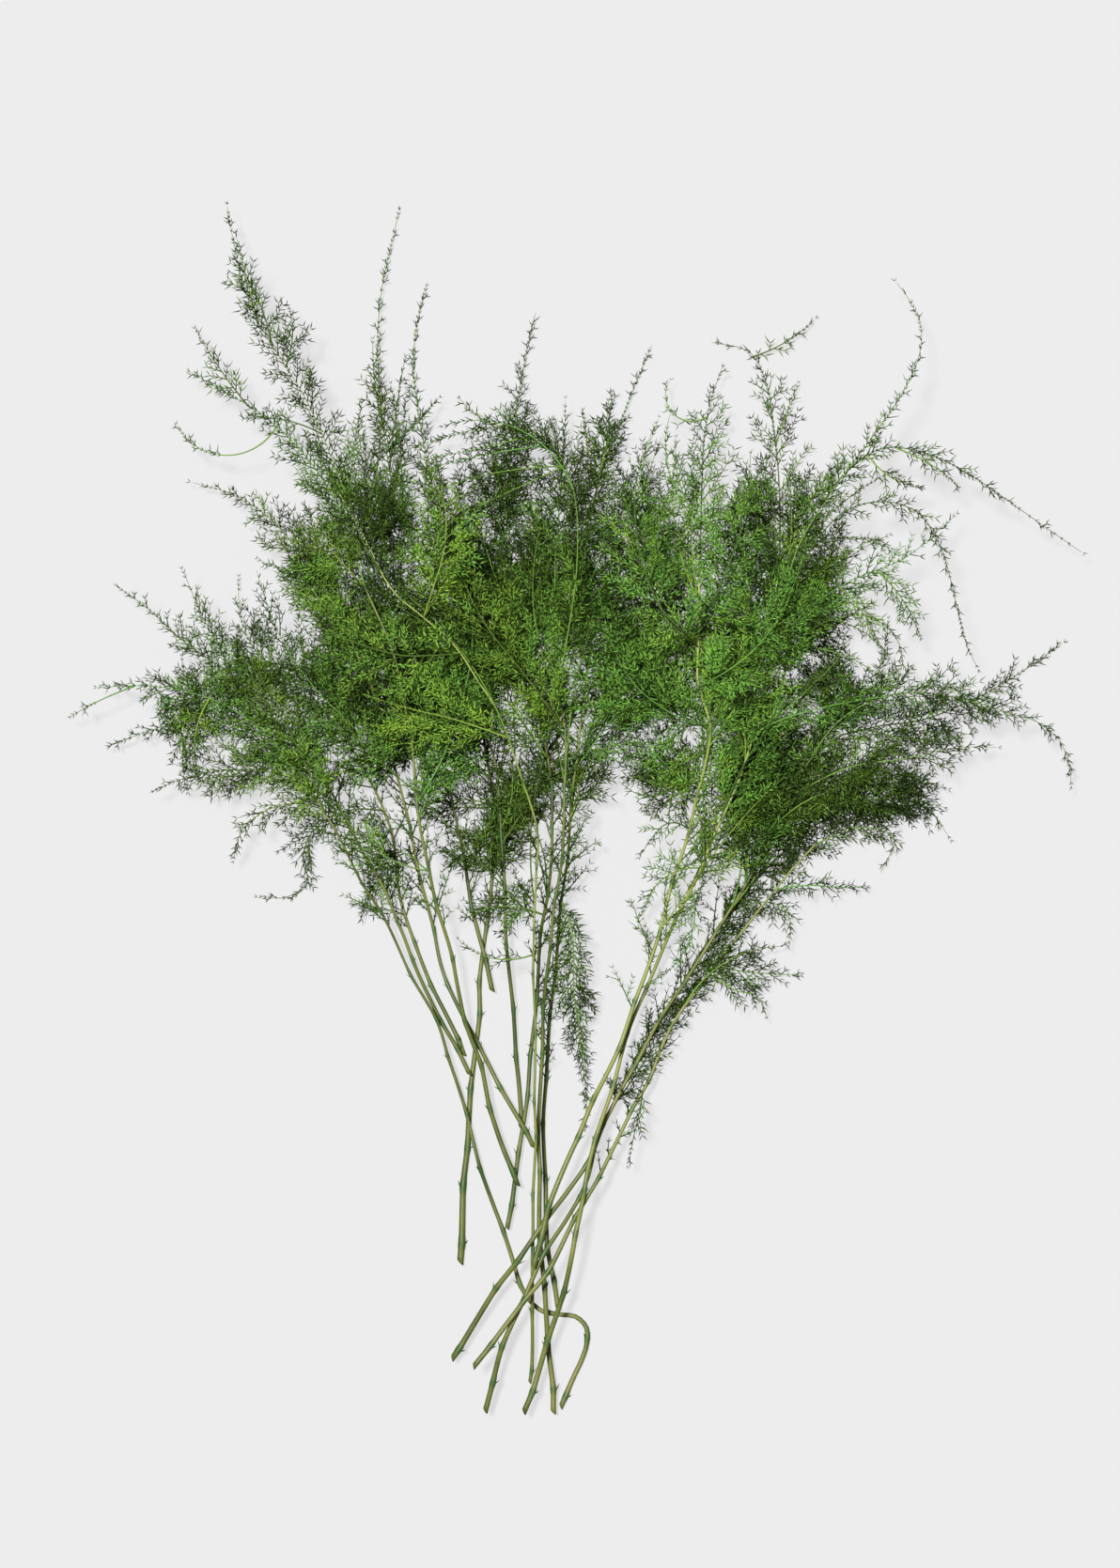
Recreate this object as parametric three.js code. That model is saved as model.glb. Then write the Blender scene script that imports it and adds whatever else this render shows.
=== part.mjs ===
// A loose armful of cut asparagus fern, lying on a flat surface.
//
// Seventeen cut stems lie with their butts together and their feathery tops fanned out.
// Each stem is one closed solid: a thin cane that widens into the flat outline of its
// leafy top. Each side spray is a solid of its own: a flat leaf-like outline on a stalk.
// The pieces are laid one after another, so each rests on those below it with a small gap.
// Units are millimetres, +Z is up, and the surface that the fern lies on is z = 0.

import * as THREE from 'three';

// Driving dimensions
const REST_GAP = 0.3; // clearance between a piece and whatever it rests on
const CELL = 1; // size of one square of the height map
const MAP_WEST = -290;
const MAP_SOUTH = -330;
const MAP_WIDTH = 600;
const MAP_LENGTH = 700;
const CANE_SLOPE = 0.22; // how steeply a cane can climb over another
const SPRAY_SLOPE = 0.4; // how steeply a soft spray can climb or droop
const CANE_STEP = 22; // length of cane between two rings of corners
const SPRAY_STEP = 15; // length of spray between two rings of corners
const STALK_HALF_WIDTH = 1.1;
const TIP_HALF_WIDTH = 0.9;
const STALK_THICKNESS = 1.8;
const SPRAY_THICKNESS = 3;
const TIP_THICKNESS = 1.4;
const BEND_SHARE = 0.75; // widest half outline, as a share of the local bend radius
const BARE_STALK = 0.08; // share of a spray's length that is bare stalk

const CANE_COLOUR = 0x7f8f4a;
const SPRAY_COLOUR = 0x4a8a3c;

// The stems, lowest in the heap first. cane runs from the cut butt to the leafy top, and
// leader from there to the tip; butt is the diameter at the cut and reach is half the
// width of the leafy top. Each spray has its route from the stem outwards and its reach.
const STEMS = [
  {
    butt: 4.4,
    cane: [[-55, -221.5], [-52.5, -170], [-48.5, -125], [-45, -88], [-43, -55], [-37, -10],
      [-37, 20], [-48, 90]],
    leader: [[-56, 135], [-71, 196], [-80, 262], [-72.5, 300]],
    reach: 20,
    sprays: [
      { route: [[-39, 36], [-60, 55], [-85, 72], [-112, 84], [-140, 92]], reach: 27 },
      { route: [[-46, 80], [-30, 112], [-18, 145], [-12, 182]], reach: 27 },
    ],
  },
  {
    butt: 3.2,
    cane: [[-38, -77], [-45.5, -45], [-53, -10], [-60, 30]],
    leader: [[-70, 65], [-84, 105], [-94, 150], [-97, 190]],
    reach: 27,
    sprays: [
      { route: [[-52, -14], [-38, 3], [-28, 24], [-22, 48]], reach: 18 },
    ],
  },
  {
    butt: 3.0,
    cane: [[-53, -111.5], [-66, -83], [-77, -59], [-86, -31], [-90, -2], [-96, 20]],
    leader: [[-112, 52], [-142, 88], [-168, 108], [-173, 143]],
    reach: 22,
    sprays: [
      { route: [[-84.5, -36], [-94, -34], [-103, -34], [-112, -29.5]], reach: 7 },
      {
        route: [[-95, 18], [-114, 19], [-131, 10], [-139, -4], [-135, -18], [-146, -27],
          [-163, -27]],
        reach: 13,
      },
    ],
  },
  {
    butt: 2.9,
    cane: [[-50, -121.5], [-65, -93], [-80, -62], [-91, -31], [-105, -7], [-121, 25]],
    leader: [[-140, 48], [-175, 64], [-205, 65], [-243, 52]],
    reach: 24,
    sprays: [
      { route: [[-114, 11], [-135, 22], [-155, 20], [-170, 8], [-175, -8]], reach: 20 },
      { route: [[-120, 23], [-150, 38], [-178, 40], [-203, 35], [-219, 28]], reach: 18 },
    ],
  },
  {
    butt: 3.4,
    step: 9,
    cane: [[-1.5, -298.5], [3, -287], [10.5, -272], [13.5, -260], [9.5, -252], [1, -250],
      [-9, -249.5], [-19, -241], [-28, -218], [-40, -184], [-50, -151], [-58, -122],
      [-67, -95], [-81, -68], [-93, -43], [-107, -18], [-123, 12]],
    leader: [[-146, 48], [-178, 74], [-213, 84], [-247, 84]],
    reach: 27,
    sprays: [
      { route: [[-131, 26], [-150, 60], [-172, 88], [-198, 106], [-219, 125], [-239, 139]], reach: 16 },
      { route: [[-125, 16], [-140, 52], [-160, 84], [-184, 110], [-201, 146]], reach: 20 },
    ],
  },
  {
    butt: 3.0,
    cane: [[-23, -150], [-24, -125], [-28, -78], [-31, -35], [-33, 10], [-40, 62]],
    leader: [[-58, 122], [-84, 168], [-96, 225], [-98, 285], [-87.5, 338]],
    reach: 18,
    sprays: [
      { route: [[-33, 0], [-22, 18], [-10, 38], [0, 66]], reach: 18 },
    ],
  },
  {
    butt: 3.1,
    cane: [[-30, -203], [-22, -152], [-16.5, -102], [-12, -50], [-6, 0], [-9, 50], [-18, 95]],
    leader: [[-27, 140], [-29, 195], [-22, 250], [-15, 284]],
    reach: 18,
    sprays: [
      { route: [[-9, 46], [-28, 75], [-52, 100], [-80, 122], [-112, 140]], reach: 30 },
    ],
  },
  {
    butt: 3.1,
    cane: [[-16, -160], [-33, -129], [-50.5, -96], [-64, -67], [-71, -38], [-78, -8], [-85, 25],
      [-94, 62]],
    leader: [[-112, 108], [-132, 145], [-165, 181], [-198, 193]],
    reach: 22,
    sprays: [
      { route: [[-87, 32], [-108, 60], [-130, 82], [-150, 112], [-162, 146]], reach: 24 },
    ],
  },
  {
    butt: 3.3,
    cane: [[-24.5, -180], [-36, -150], [-43.5, -120], [-53, -88], [-60, -56], [-68, -26], [-75, 8],
      [-80, 52], [-88, 95]],
    leader: [[-104, 135], [-122, 185], [-152, 222], [-200, 252]],
    reach: 22,
    sprays: [
      { route: [[-77, 22], [-62, 50], [-52, 82], [-48, 112], [-54, 146]], reach: 25 },
    ],
  },
  {
    butt: 3.2,
    cane: [[-3, -246], [-7.5, -220], [-10, -180], [-10.5, -140], [-7.5, -95], [-3, -50], [2, -5],
      [7, 50], [12, 90]],
    leader: [[14, 130], [15, 178], [33, 232], [47, 267]],
    reach: 16,
    sprays: [
      { route: [[6, 40], [28, 70], [50, 92], [62, 122], [60, 152]], reach: 28 },
      { route: [[0.5, -30], [5, -50], [5, -72], [8, -100], [12, -133], [11, -151]], reach: 11 },
    ],
  },
  {
    butt: 3.6,
    cane: [[-5.5, -301], [-8, -262], [-11, -230], [-13, -190], [-12.5, -135], [-8.5, -62],
      [-2, -12], [1, 45], [-2, 85]],
    leader: [[-5, 130], [-3, 170], [0, 208], [1, 237]],
    reach: 22,
    sprays: [
      { route: [[0, 62], [-22, 92], [-42, 118], [-56, 150], [-60, 182]], reach: 27 },
      {
        route: [[-2, 86], [7, 150], [4, 192], [-10, 215], [-34, 221], [-60, 217], [-88, 208]],
        reach: 13,
      },
    ],
  },
  {
    butt: 3.8,
    cane: [[-18, -285], [-16, -246], [-17, -230], [-16, -195], [-15, -140], [-15.5, -78],
      [-16, -40], [-14, 5], [-24, 42], [-38, 76], [-58, 106], [-92, 138]],
    leader: [[-110, 174], [-134, 232], [-164, 282], [-172, 308], [-178, 339]],
    reach: 20,
    sprays: [
      {
        route: [[-16, -38], [-45, -7], [-75, 26], [-100, 48], [-115, 66], [-124, 88], [-128, 118]],
        reach: 16,
        bare: 0.6,
      },
      { route: [[-30, 57], [-55, 66], [-80, 72], [-106, 80]], reach: 26 },
      { route: [[-54, 101], [-85, 100], [-112, 108], [-142, 122]], reach: 26 },
      { route: [[-74, 121], [-64, 148], [-62, 176], [-74, 205]], reach: 22 },
    ],
  },
  {
    butt: 3.6,
    cane: [[-41.5, -299.5], [-34, -271], [-21, -238], [-9, -214], [10, -183], [19, -154], [34, -122],
      [52, -92], [80, -47], [106, -15]],
    leader: [[138, 14], [164, 24], [188, 24], [206, 3]],
    reach: 20,
    sprays: [
      { route: [[26, -139], [38, -122], [52, -100], [66, -80], [80, -62]], reach: 11 },
      { route: [[70, -62], [90, -66], [108, -68], [126, -69]], reach: 14 },
      { route: [[90, -34], [108, -30], [120, -37], [119, -53]], reach: 9 },
    ],
  },
  {
    butt: 3.5,
    cane: [[-47.5, -275], [-29, -251], [-11, -228], [9, -192], [30, -153], [42, -130], [60, -91],
      [90, -52], [113, -22]],
    leader: [[136, 2], [160, 10], [177, 2], [168, -15]],
    reach: 15,
    sprays: [
      { route: [[42, -130], [39, -145], [36, -158], [34, -169]], reach: 6 },
      { route: [[78, -68], [92, -77], [103, -80], [108, -93]], reach: 10 },
      { route: [[112, -23], [128, -21], [145, -22], [161, -22]], reach: 7 },
    ],
  },
  {
    butt: 3.8,
    cane: [[-59, -272], [-33, -231], [-5, -192], [12, -168], [30, -130], [56, -84], [86, -38],
      [107, 0], [124, 36]],
    leader: [[150, 60], [188, 66], [230, 84], [266, 108]],
    reach: 24,
    sprays: [
      { route: [[97, -19], [99, 12], [103, 44], [112, 78]], reach: 22 },
      { route: [[112, 10], [125, 22], [150, 32], [178, 36], [204, 30]], reach: 24 },
      { route: [[120, 27], [152, 42], [180, 46], [208, 52], [230, 52]], reach: 22 },
      {
        route: [[123, 34], [145, 66], [175, 80], [208, 78], [235, 70], [256, 62], [266, 48],
          [269, 29]],
        reach: 14,
      },
    ],
  },
  {
    butt: 3.7,
    cane: [[-21, -300], [-10, -268], [-1, -238], [6.5, -206], [12, -173], [26, -126], [36, -94],
      [55, -50], [76, -3], [97, 48], [106, 80]],
    leader: [[113, 125], [115, 180], [111, 226], [102, 260], [78, 268]],
    reach: 16,
    sprays: [
      { route: [[101, 62], [125, 70], [150, 76], [175, 80], [199, 90]], reach: 28 },
      { route: [[107, 84], [128, 112], [150, 122], [168, 117], [178, 103], [175, 84]], reach: 16 },
      { route: [[108, 90], [125, 122], [152, 140], [180, 152], [207, 175]], reach: 24 },
      {
        route: [[110, 98], [124, 145], [145, 174], [167, 181], [186, 175], [198, 156], [206, 128],
          [211, 108], [218, 93]],
        reach: 16,
      },
      {
        route: [[111, 106], [126, 160], [146, 194], [168, 209], [190, 206], [212, 196], [240, 178],
          [275, 155]],
        reach: 15,
      },
      {
        route: [[112, 112], [122, 155], [142, 188], [162, 215], [179, 240], [188, 264], [186, 280],
          [175, 298]],
        reach: 14,
      },
    ],
  },
  {
    butt: 3.6,
    cane: [[-16, -222], [-8, -193], [4, -161], [25, -115], [41, -75], [57, -22], [68, 15], [77, 61],
      [71, 88], [71, 120]],
    leader: [[72, 150], [73, 190], [76, 228], [85, 256]],
    reach: 20,
    sprays: [
      { route: [[66, 8], [57, 13], [48, 6], [40, -6]], reach: 11 },
      { route: [[72, 34], [58, 30], [42, 26], [28, 35]], reach: 15 },
      { route: [[77, 61], [56, 70], [36, 86], [24, 110], [18, 136]], reach: 30 },
      { route: [[72, 84], [94, 98], [114, 122], [126, 154]], reach: 28 },
      { route: [[71, 104], [50, 126], [39, 158], [38, 190], [48, 222]], reach: 24 },
      { route: [[71, 114], [84, 142], [95, 174], [98, 208]], reach: 24 },
    ],
  },
];

// The height map holds how high the heap already reaches over each square millimetre.
const heap = new Float32Array(MAP_WIDTH * MAP_LENGTH);

/** Calls visit(index) for each square within reach of the stretch from a to b. */
function eachSquare(a, b, reach, visit) {
  const west = Math.floor((Math.min(a.x, b.x) - reach - MAP_WEST) / CELL);
  const east = Math.ceil((Math.max(a.x, b.x) + reach - MAP_WEST) / CELL);
  const south = Math.floor((Math.min(a.y, b.y) - reach - MAP_SOUTH) / CELL);
  const north = Math.ceil((Math.max(a.y, b.y) + reach - MAP_SOUTH) / CELL);
  const along = new THREE.Vector2().subVectors(b, a);
  const spot = new THREE.Vector2();
  for (let row = south; row <= north; row += 1) {
    for (let column = west; column <= east; column += 1) {
      spot.set(MAP_WEST + column * CELL, MAP_SOUTH + row * CELL).sub(a);
      const share = THREE.MathUtils.clamp(spot.dot(along) / along.lengthSq(), 0, 1);
      if (spot.addScaledVector(along, -share).length() <= reach) {
        visit(row * MAP_WIDTH + column);
      }
    }
  }
}

/** Radius of the circle through three neighbouring places: how tightly a route bends. */
function bendRadius(before, here, after) {
  const a = here.distanceTo(before);
  const b = after.distanceTo(here);
  const c = after.distanceTo(before);
  const twiceArea = Math.abs(new THREE.Vector2().subVectors(here, before)
    .cross(new THREE.Vector2().subVectors(after, here)));
  return twiceArea < 1e-6 ? Infinity : (a * b * c) / (2 * twiceArea);
}

/**
 * Finds how high a piece lies at each station: on the surface, or on the heap under it.
 * A piece can't climb faster than slope, so it bridges the hollows between its supports.
 */
function restHeights(stations, slope) {
  const lows = stations.map(() => 0);
  const margin = CELL;
  for (let i = 0; i + 1 < stations.length; i += 1) {
    const [a, b] = [stations[i], stations[i + 1]];
    let top = 0;
    eachSquare(a.spot, b.spot, Math.max(a.halfWidth, b.halfWidth) + margin, (index) => {
      top = Math.max(top, heap[index]);
    });
    const low = top > 0 ? top + REST_GAP : 0;
    lows[i] = Math.max(lows[i], low);
    lows[i + 1] = Math.max(lows[i + 1], low);
  }
  const heights = stations.map((station, i) => {
    const reaches = stations.map((other, j) => lows[j] - slope * Math.abs(other.distance - station.distance));
    return Math.max(lows[i], ...reaches);
  });
  return smoothed(heights, lows);
}

/** Eases the kinks out of a row of heights, without sinking below lows. */
function smoothed(heights, lows) {
  let eased = heights;
  for (let pass = 0; pass < 3; pass += 1) {
    eased = eased.map((height, i) => {
      const before = eased[Math.max(i - 1, 0)];
      const after = eased[Math.min(i + 1, eased.length - 1)];
      return Math.max(lows[i], (before + 2 * height + after) / 4);
    });
  }
  return eased;
}

/** Adds a piece that now lies at the given heights to the height map. */
function addToHeap(stations, heights) {
  for (let i = 0; i + 1 < stations.length; i += 1) {
    const [a, b] = [stations[i], stations[i + 1]];
    const top = Math.max(heights[i] + a.thickness, heights[i + 1] + b.thickness);
    eachSquare(a.spot, b.spot, Math.max(a.halfWidth, b.halfWidth) + CELL, (index) => {
      heap[index] = Math.max(heap[index], top);
    });
  }
}

/** Half width of a leafy outline at share of its length: stalk, widest third, tip. */
function outlineAt(share, reach, bare) {
  if (share <= bare) return STALK_HALF_WIDTH;
  const leafy = (share - bare) / (1 - bare);
  const full = Math.sin(Math.PI * leafy ** 0.7) ** 0.8;
  const narrowest = THREE.MathUtils.lerp(STALK_HALF_WIDTH, TIP_HALF_WIDTH, leafy);
  return narrowest + (reach - narrowest) * full;
}

/** Thickness of a leafy outline at share of its length. */
function thicknessAt(share, bare) {
  if (share <= bare) return STALK_THICKNESS;
  const leafy = (share - bare) / (1 - bare);
  const rise = THREE.MathUtils.smoothstep(leafy, 0, 0.25);
  const fall = THREE.MathUtils.smoothstep(leafy, 0.6, 1);
  const full = THREE.MathUtils.lerp(STALK_THICKNESS, SPRAY_THICKNESS, rise);
  return THREE.MathUtils.lerp(full, TIP_THICKNESS, fall);
}

/** Places along a route, a step apart, each with its distance from the start. */
function stationsAlong(route, step) {
  const curve = new THREE.CatmullRomCurve3(
    route.map(([x, y]) => new THREE.Vector3(x, y, 0)), false, 'centripetal');
  const length = curve.getLength();
  const count = Math.max(5, Math.round(length / step));
  return curve.getSpacedPoints(count).map((point, i) => ({
    spot: new THREE.Vector2(point.x, point.y),
    distance: (length * i) / count,
    share: i / count,
  }));
}

/** Keeps a wide outline from folding over itself on the inside of a bend. */
function narrowAtBends(stations) {
  for (let i = 1; i + 1 < stations.length; i += 1) {
    const radius = bendRadius(stations[i - 1].spot, stations[i].spot, stations[i + 1].spot);
    stations[i].halfWidth = Math.min(stations[i].halfWidth, BEND_SHARE * radius);
  }
}

/**
 * A closed six-sided solid along the stations. It starts as a straight six-sided prism,
 * flat above and below, whose rings of corners are then moved to their stations.
 */
function solidAlong(stations, heights) {
  const last = stations.length - 1;
  const prism = new THREE.CylinderGeometry(1, 1, 1, 6, last, false, Math.PI / 6);
  const flat = Math.cos(Math.PI / 6);
  const corners = prism.getAttribute('position');
  for (let k = 0; k < corners.count; k += 1) {
    const i = Math.round((0.5 - corners.getY(k)) * last);
    const { spot, halfWidth, thickness } = stations[i];
    const before = stations[Math.max(i - 1, 0)].spot;
    const after = stations[Math.min(i + 1, last)].spot;
    const forward = new THREE.Vector2().subVectors(after, before).normalize();
    const side = corners.getX(k) * halfWidth;
    const height = heights[i] + (corners.getZ(k) / flat + 1) * thickness / 2;
    corners.setXYZ(k, spot.x - forward.y * side, spot.y + forward.x * side, height);
  }
  prism.computeVertexNormals();
  return prism;
}

/** Lays one piece on the heap and returns its mesh. */
function layPiece(name, stations, slope, colour) {
  narrowAtBends(stations);
  const heights = restHeights(stations, slope);
  addToHeap(stations, heights);
  const material = new THREE.MeshStandardMaterial({ color: colour, roughness: 0.7, metalness: 0 });
  const mesh = new THREE.Mesh(solidAlong(stations, heights), material);
  mesh.name = name;
  return mesh;
}

/** A stem: its cane tapers from the butt, then widens into the leafy top. */
function layStem(name, stem) {
  const stations = stationsAlong([...stem.cane, ...stem.leader], stem.step ?? CANE_STEP);
  const leaderStart = new THREE.Vector2(...stem.leader[0]);
  const distances = stations.map((station) => station.spot.distanceTo(leaderStart));
  const joint = distances.indexOf(Math.min(...distances));
  const jointShare = stations[joint].share;
  stations.forEach((station) => {
    if (station.share <= jointShare) {
      const girth = THREE.MathUtils.lerp(stem.butt, 2 * STALK_HALF_WIDTH, station.share / jointShare);
      station.halfWidth = girth / 2;
      station.thickness = girth;
    } else {
      const share = (station.share - jointShare) / (1 - jointShare);
      station.halfWidth = outlineAt(share, stem.reach, 0);
      station.thickness = thicknessAt(share, 0);
    }
  });
  return layPiece(name, stations, CANE_SLOPE, CANE_COLOUR);
}

/** A side spray: a stalk that springs from its stem and carries a leafy outline. */
function laySpray(name, spray) {
  const stations = stationsAlong(spray.route, SPRAY_STEP);
  const bare = spray.bare ?? BARE_STALK;
  stations.forEach((station) => {
    station.halfWidth = outlineAt(station.share, spray.reach, bare);
    station.thickness = thicknessAt(station.share, bare);
  });
  return layPiece(name, stations, SPRAY_SLOPE, SPRAY_COLOUR);
}

/** Lays every stem with its sprays, and centres the heap over its own footprint. */
function makeFern() {
  const fern = new THREE.Group();
  STEMS.forEach((stem, i) => {
    const name = `stem_${String(i + 1).padStart(2, '0')}`;
    fern.add(layStem(name, stem));
    stem.sprays.forEach((spray, j) => {
      fern.add(laySpray(`${name}_spray_${j + 1}`, spray));
    });
  });
  const box = new THREE.Box3().setFromObject(fern);
  const centre = box.getCenter(new THREE.Vector3());
  fern.position.set(-centre.x, -centre.y, -box.min.z);
  return fern;
}

export default makeFern();
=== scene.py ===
"""Cut asparagus fern lying on a pale surface: jointed canes and feathery sprays.

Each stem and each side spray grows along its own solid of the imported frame. The solid
gives the line that it follows and how far its twigs reach; the growth adds the tapering
canes with their joints and scale leaves, the twigs on two levels and the fine needles.
"""

import math

import bmesh
import bpy
import numpy as np
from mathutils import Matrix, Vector


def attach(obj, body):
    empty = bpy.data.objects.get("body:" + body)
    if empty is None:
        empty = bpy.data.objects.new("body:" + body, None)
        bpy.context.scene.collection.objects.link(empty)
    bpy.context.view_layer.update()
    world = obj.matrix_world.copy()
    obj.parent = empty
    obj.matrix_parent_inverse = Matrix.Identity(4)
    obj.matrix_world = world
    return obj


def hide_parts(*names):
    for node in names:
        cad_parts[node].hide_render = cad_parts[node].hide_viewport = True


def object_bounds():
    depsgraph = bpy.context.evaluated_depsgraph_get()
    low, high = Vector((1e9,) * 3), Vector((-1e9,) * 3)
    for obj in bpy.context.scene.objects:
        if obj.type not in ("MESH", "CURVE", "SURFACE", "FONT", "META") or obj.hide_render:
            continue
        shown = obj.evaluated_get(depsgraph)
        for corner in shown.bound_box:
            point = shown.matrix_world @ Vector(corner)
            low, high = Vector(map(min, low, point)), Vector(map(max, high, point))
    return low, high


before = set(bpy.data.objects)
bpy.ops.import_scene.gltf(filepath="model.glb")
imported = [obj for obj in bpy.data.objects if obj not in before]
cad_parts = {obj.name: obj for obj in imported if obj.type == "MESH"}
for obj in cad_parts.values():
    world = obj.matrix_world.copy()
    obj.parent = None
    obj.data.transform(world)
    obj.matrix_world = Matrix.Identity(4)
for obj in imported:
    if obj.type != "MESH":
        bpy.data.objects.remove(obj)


def as_lists(bounds):
    return [[float(value) for value in corner] for corner in bounds]


cad_box = as_lists(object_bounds())

MM = 0.001
SEED = 11

# ---------------------------------------------------------------- driving sizes (metres)
SIDES = 6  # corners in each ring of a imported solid
WELD = 0.01 * MM
STALK = 2.6 * MM  # a ring narrower than this is cane, and a wider one is foliage

LINE_STEP = 2.5 * MM
RACHIS_RADIUS = 0.5 * MM
RACHIS_TIP_RADIUS = 0.14 * MM
RACHIS_SIDES = 5
RACHIS_TONES = [0.35, 0.8, 0.99]
CANE_SIDES = 12
CANE_SLIMNESS = 0.82
CANE_TAPER = 0.45
CANE_KINK = 0.7 * MM  # how far each joint stands off the cane's line
CANE_STEP = 3.0 * MM
JOINT_SPACING = 29 * MM
JOINT_SWELL = 0.26
JOINT_LENGTH = 2.2 * MM
SCALE_LEAF = 3.6 * MM
CUT_SLANT = 0.9

TWIG_SPACING = 2.8 * MM
TWIG_RADIUS = 0.42 * MM
TWIG_TAPER = 0.6  # share of its thickness that a twig loses towards its tip
TWIG_DARKER = 0.15  # twigs are darker than the needles on them
SHORTEST_TWIG = 3.0 * MM
TWIG_SPREAD = 54  # degrees between a twig and its rachis at the foot of a spray
SPREAD_LOSS = 24  # and how much less that is at the tip
TWIGLET_SPACING = 4.2 * MM
TWIGLET_RADIUS = 0.31 * MM
TWIGLET_SPREAD = 46.0
LONGEST_TWIGLET = 8 * MM
SHORTEST_FORK = 11 * MM  # a twig shorter than this carries needles only
SPRIG_SPREAD = 34.0  # sprigs sit straight on a cane
SPRIG_VIGOUR = 0.62
FOOT_VIGOUR = 1.08  # growth is strongest at the foot of a spray
VIGOUR_LOSS = 0.45
MISSING_TWIGS = 0.08
MISSING_AT_TIP = 0.75
NARROWING = 0.72  # a spray narrows from this share of its length to its tip
NARROWING_FROM = 0.35

SPREAD_NOISE = 9  # degrees
TILT_NOISE = 0.2  # radians
FORWARD_BEND = (0.25, 0.75)  # how far a twig bends back along its parent
DROOP = (4, 16)  # bend towards the surface for each metre of a twig
BEND_NOISE = 0.2
WEAK_BEND_NOISE = 0.5  # weak twigs are more crooked
ROLL_NOISE = 0.18

NEEDLE_SPACING = 2.0 * MM
NEEDLE_LENGTH = 4.7 * MM
NEEDLE_RADIUS = 0.43 * MM
NEEDLES_PER_NODE = 2.15
NEEDLE_LEAN = 44  # degrees between a needle and its twig
LEAN_NOISE = 8
TURN_NOISE = 0.4  # radians
NEEDLE_BOW = 0.22
NEEDLE_WAIST = 0.36  # where along it a needle is thickest
NEEDLES_FROM = 0.45  # a rachis carries needles of its own from this share onwards
TIP_VIGOUR = 0.5

# Painted light and shade: needles are painted darker below TONE_HEIGHT and lighter above it, by
# up to TOP_TONE.
TONE_HEIGHT = 26 * MM
TOP_TONE = 0.3
NEEDLE_TONE_NOISE = 0.16
NEEDLE_HUE_NOISE = 0.15
TWIG_TONE_NOISE = 0.19
TWIG_HUE_NOISE = 0.12
TIP_PAINTED_SHADE = 0.42  # painted shade: twigs and the needles on them are painted darker towards the tip of a spray
PLUME_HUES = (0.42, 0.9)
FLOOR_GAP = 0.25 * MM
CEILING_GAP = 9 * MM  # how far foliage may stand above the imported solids
CEILING_BLEND = 16 * MM

PAINTED_SHADE_TONE = 0.0  # painted shade: the darkest tone, for the foliage layers deep in the armful
SHADE_CROWD = 1.3
SHADE_SHIFT = 5 * MM
SHADE_SINK = (0.5, 0.85)  # how far towards the surface it lies
SHADE_REACH = 1.1
SHADE_BARE = 0.25

TONES = 16  # shades that needles and twigs come in, from dark to light; they carry random tone as well as painted light and shade
HUES = 4  # from yellow green to blue green
SWATCH_ROWS = HUES + 1  # the top row of swatches is the twigs'

VIEW_HEIGHT = 0.8345  # length of the surface that the camera takes in
VIEW_CENTRE = (-0.0162, 0.0137)
CAMERA_HEIGHT = 3.2
SHINES_TOWARDS = (0.35, -0.35, -1.6)

UP = np.array([0.0, 0.0, 1.0])


# ---------------------------------------------------------------- reading the solids
def layers_from(start):
    """Corners of a welded solid in steps away from start, or None if it isn't an end."""
    layers, seen = [[start]], {start}
    while True:
        found = {e.other_vert(v) for v in layers[-1] for e in v.link_edges} - seen
        if not found:
            return layers if len(layers[-1]) == 1 else None
        if len(found) != SIDES and not (len(found) == 1 and len(layers) > 2):
            return None
        layers.append(list(found))
        seen |= found


def solid_line(node):
    """The line through the middle of a solid, with its half width along it."""
    welded = bmesh.new()
    welded.from_mesh(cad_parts[node].data)
    bmesh.ops.remove_doubles(welded, verts=welded.verts, dist=WELD)
    layers = next(filter(None, map(layers_from, welded.verts)))
    rings = [np.array([v.co for v in layer]) for layer in layers[1:-1]]
    welded.free()
    middles = np.array([(ring.min(0) + ring.max(0)) / 2 for ring in rings])
    centres = np.array([ring.mean(0) for ring in rings])
    centres[:, 2] = middles[:, 2]
    reach = np.array([
        np.linalg.norm((ring - centre)[:, :2], axis=1).max()
        for ring, centre in zip(rings, centres)
    ])
    return centres, reach


def turned(line, reach, backwards):
    return (line[::-1], reach[::-1]) if backwards else (line, reach)


def unit(vectors):
    return vectors / np.maximum(np.linalg.norm(vectors, axis=-1, keepdims=True), 1e-12)


def smooth_line(points, values, step):
    """A smooth curve through the points, with places a step apart, and the values there."""
    ends = np.vstack([2 * points[0] - points[1], points, 2 * points[-1] - points[-2]])
    fine, fine_values = [], []
    for i in range(1, len(ends) - 2):
        p0, p1, p2, p3 = ends[i - 1 : i + 3]
        share = np.linspace(0, 1, 12, endpoint=False)[:, None]
        fine.append(0.5 * (
            2 * p1 + (p2 - p0) * share + (2 * p0 - 5 * p1 + 4 * p2 - p3) * share**2
            + (3 * p1 - p0 - 3 * p2 + p3) * share**3
        ))
        fine_values.append(values[i - 1] + (values[i] - values[i - 1]) * share[:, 0])
    fine = np.vstack([*fine, points[-1:]])
    fine_values = np.append(np.concatenate(fine_values), values[-1])
    lengths = np.append(0, np.cumsum(np.linalg.norm(np.diff(fine, axis=0), axis=1)))
    count = max(3, int(round(lengths[-1] / step)) + 1)
    at = np.linspace(0, lengths[-1], count)
    line = np.stack([np.interp(at, lengths, axis) for axis in fine.T], 1)
    return line, np.interp(at, lengths, fine_values), at


def directions(line):
    return unit(np.gradient(line, axis=0))


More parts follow.
